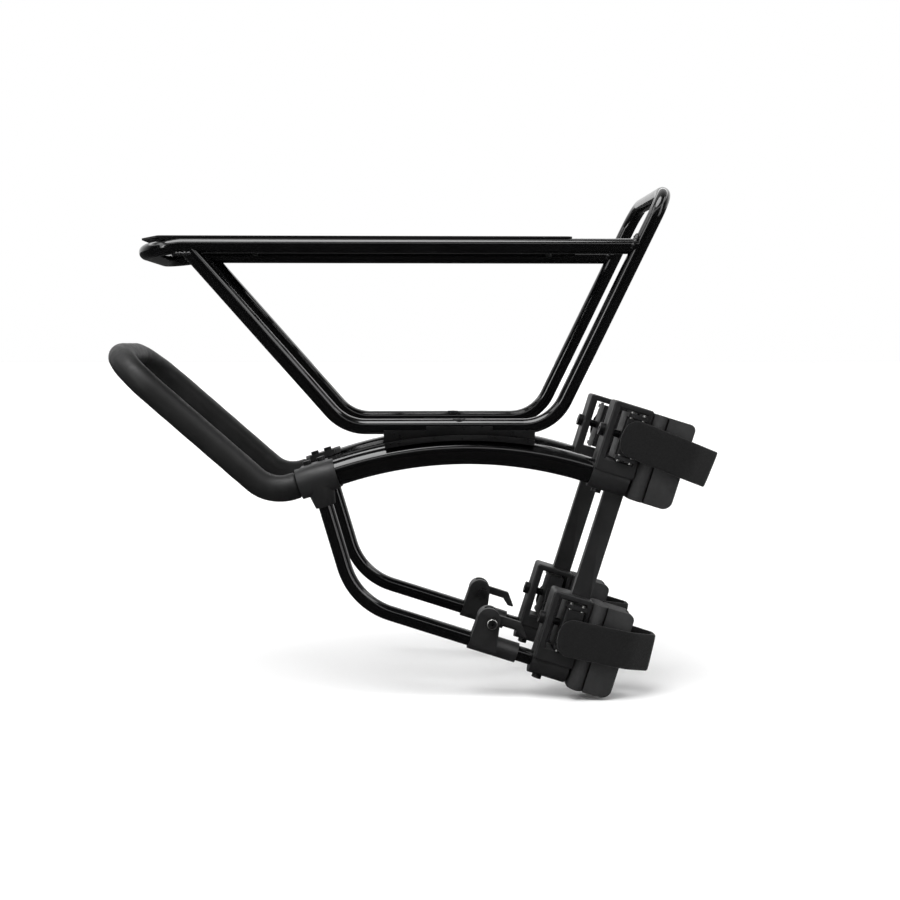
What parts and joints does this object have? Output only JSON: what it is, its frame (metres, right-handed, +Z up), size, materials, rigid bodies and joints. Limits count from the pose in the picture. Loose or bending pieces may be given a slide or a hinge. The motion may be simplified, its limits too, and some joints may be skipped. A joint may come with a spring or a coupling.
{
  "type": "bicycle rear rack",
  "caption": "Clamp-on bicycle rear rack: flat tube-framed deck with a front hoop, sliding on arched side tubes, with a padded rear loop and strapped pads that grip the seat stays.",
  "frame": {"origin": "on the deck plate's top face, on the mid-plane, above the crown of the arched tubes", "axes": "+X towards the front of the bicycle, +Y to its left, +Z up, square out of the deck plate"},
  "size_m": [0.4016, 0.1444, 0.334],
  "materials": {
    "gloss_black": "gloss black paint on aluminium tube",
    "moulded_black": "satin moulded nylon",
    "sleeve_rubber": "matte rubber sleeve",
    "pad_rubber": "matte rubber",
    "strap_web": "matte woven webbing",
    "bright_steel": "bright steel",
    "dark_steel": "black oxide steel"
  },
  "bodies": {
    "main_frame": {"loop_core": "gloss_black", "loop_sleeve": "sleeve_rubber", "right_arch_tube": "gloss_black", "right_tee_collar": "moulded_black", "right_collar_screws": "dark_steel", "right_lower_strut": "gloss_black", "right_mount_bracket": "moulded_black", "right_socket_screws": "dark_steel", "right_upper_pad": "pad_rubber", "right_lower_pad": "pad_rubber", "left_arch_tube": "gloss_black", "left_tee_collar": "moulded_black", "left_collar_screws": "dark_steel", "left_lower_strut": "gloss_black", "left_mount_bracket": "moulded_black", "left_socket_screws": "dark_steel", "left_upper_pad": "pad_rubber", "left_lower_pad": "pad_rubber"},
    "deck": {"deck_rail": "gloss_black", "hoop_frame": "gloss_black", "front_brace": "gloss_black", "rear_brace": "gloss_black", "top_plate": "gloss_black", "plate_screws": "dark_steel", "right_saddle_shoe": "moulded_black", "right_saddle_block": "moulded_black", "right_saddle_bolt": "dark_steel", "right_slot_nut": "bright_steel", "left_saddle_shoe": "moulded_black", "left_saddle_block": "moulded_black", "left_saddle_bolt": "dark_steel", "left_slot_nut": "bright_steel"},
    "right_upper_tensioner": {"right_upper_carriage": "moulded_black", "right_upper_buckle_bars": "bright_steel", "right_upper_strap": "strap_web", "right_upper_strap_pin": "dark_steel"},
    "right_upper_screw": {"right_upper_tension_screw": "dark_steel"},
    "right_lower_tensioner": {"right_lower_carriage": "moulded_black", "right_lower_buckle_bars": "bright_steel", "right_lower_strap": "strap_web", "right_lower_strap_pin": "dark_steel"},
    "right_lower_screw": {"right_lower_tension_screw": "dark_steel"},
    "right_hook_slider": {"right_hook_clamp": "moulded_black", "right_hook_bolt": "dark_steel"},
    "right_hook_finger": {"right_hook_finger": "moulded_black"},
    "left_upper_tensioner": {"left_upper_carriage": "moulded_black", "left_upper_buckle_bars": "bright_steel", "left_upper_strap": "strap_web", "left_upper_strap_pin": "dark_steel"},
    "left_upper_screw": {"left_upper_tension_screw": "dark_steel"},
    "left_lower_tensioner": {"left_lower_carriage": "moulded_black", "left_lower_buckle_bars": "bright_steel", "left_lower_strap": "strap_web", "left_lower_strap_pin": "dark_steel"},
    "left_lower_screw": {"left_lower_tension_screw": "dark_steel"},
    "left_hook_slider": {"left_hook_clamp": "moulded_black", "left_hook_bolt": "dark_steel"},
    "left_hook_finger": {"left_hook_finger": "moulded_black"}
  },
  "joints": [
    {"name": "deck_levelling", "type": "hinge", "parent": "main_frame", "child": "deck", "pos_m": [0, 0, -0.4032], "axis": [0, 1, 0], "range_deg": [-5, 4]},
    {"name": "right_upper_strap_pull", "type": "slide", "parent": "main_frame", "child": "right_upper_tensioner", "axis": [0.9548, 0, -0.2974], "range_m": [-0.0035, 0.002]},
    {"name": "right_upper_screw_turn", "type": "hinge", "parent": "main_frame", "child": "right_upper_screw", "pos_m": [0.09966, -0.055, -0.12809], "axis": [0.9548, 0, -0.2974], "range_deg": [-900, 1575]},
    {"name": "right_lower_strap_pull", "type": "slide", "parent": "main_frame", "child": "right_lower_tensioner", "axis": [0.9548, 0, -0.2974], "range_m": [-0.0035, 0.002]},
    {"name": "right_lower_screw_turn", "type": "hinge", "parent": "main_frame", "child": "right_lower_screw", "pos_m": [0.061, -0.055, -0.25221], "axis": [0.9548, 0, -0.2974], "range_deg": [-900, 1575]},
    {"name": "right_hook_slide", "type": "slide", "parent": "main_frame", "child": "right_hook_slider", "axis": [0.9511, 0, -0.309], "range_m": [-0.05, 0.005]},
    {"name": "right_hook_swing", "type": "hinge", "parent": "right_hook_slider", "child": "right_hook_finger", "pos_m": [0.0164, -0.055, -0.25191], "axis": [0, -1, 0], "range_deg": [-8, 60]},
    {"name": "left_upper_strap_pull", "type": "slide", "parent": "main_frame", "child": "left_upper_tensioner", "axis": [0.9548, 0, -0.2974], "range_m": [-0.0035, 0.002]},
    {"name": "left_upper_screw_turn", "type": "hinge", "parent": "main_frame", "child": "left_upper_screw", "pos_m": [0.09966, 0.055, -0.12809], "axis": [0.9548, 0, -0.2974], "range_deg": [-900, 1575]},
    {"name": "left_lower_strap_pull", "type": "slide", "parent": "main_frame", "child": "left_lower_tensioner", "axis": [0.9548, 0, -0.2974], "range_m": [-0.0035, 0.002]},
    {"name": "left_lower_screw_turn", "type": "hinge", "parent": "main_frame", "child": "left_lower_screw", "pos_m": [0.061, 0.055, -0.25221], "axis": [0.9548, 0, -0.2974], "range_deg": [-900, 1575]},
    {"name": "left_hook_slide", "type": "slide", "parent": "main_frame", "child": "left_hook_slider", "axis": [0.9511, 0, -0.309], "range_m": [-0.05, 0.005]},
    {"name": "left_hook_swing", "type": "hinge", "parent": "left_hook_slider", "child": "left_hook_finger", "pos_m": [0.0164, 0.055, -0.25191], "axis": [0, -1, 0], "range_deg": [-8, 60]}
  ],
  "couplings": [
    {"joint": "right_upper_screw_turn", "follows": "right_upper_strap_pull", "rad_per_m": -7854},
    {"joint": "right_lower_screw_turn", "follows": "right_lower_strap_pull", "rad_per_m": -7854},
    {"joint": "left_upper_screw_turn", "follows": "left_upper_strap_pull", "rad_per_m": -7854},
    {"joint": "left_lower_screw_turn", "follows": "left_lower_strap_pull", "rad_per_m": -7854}
  ]
}
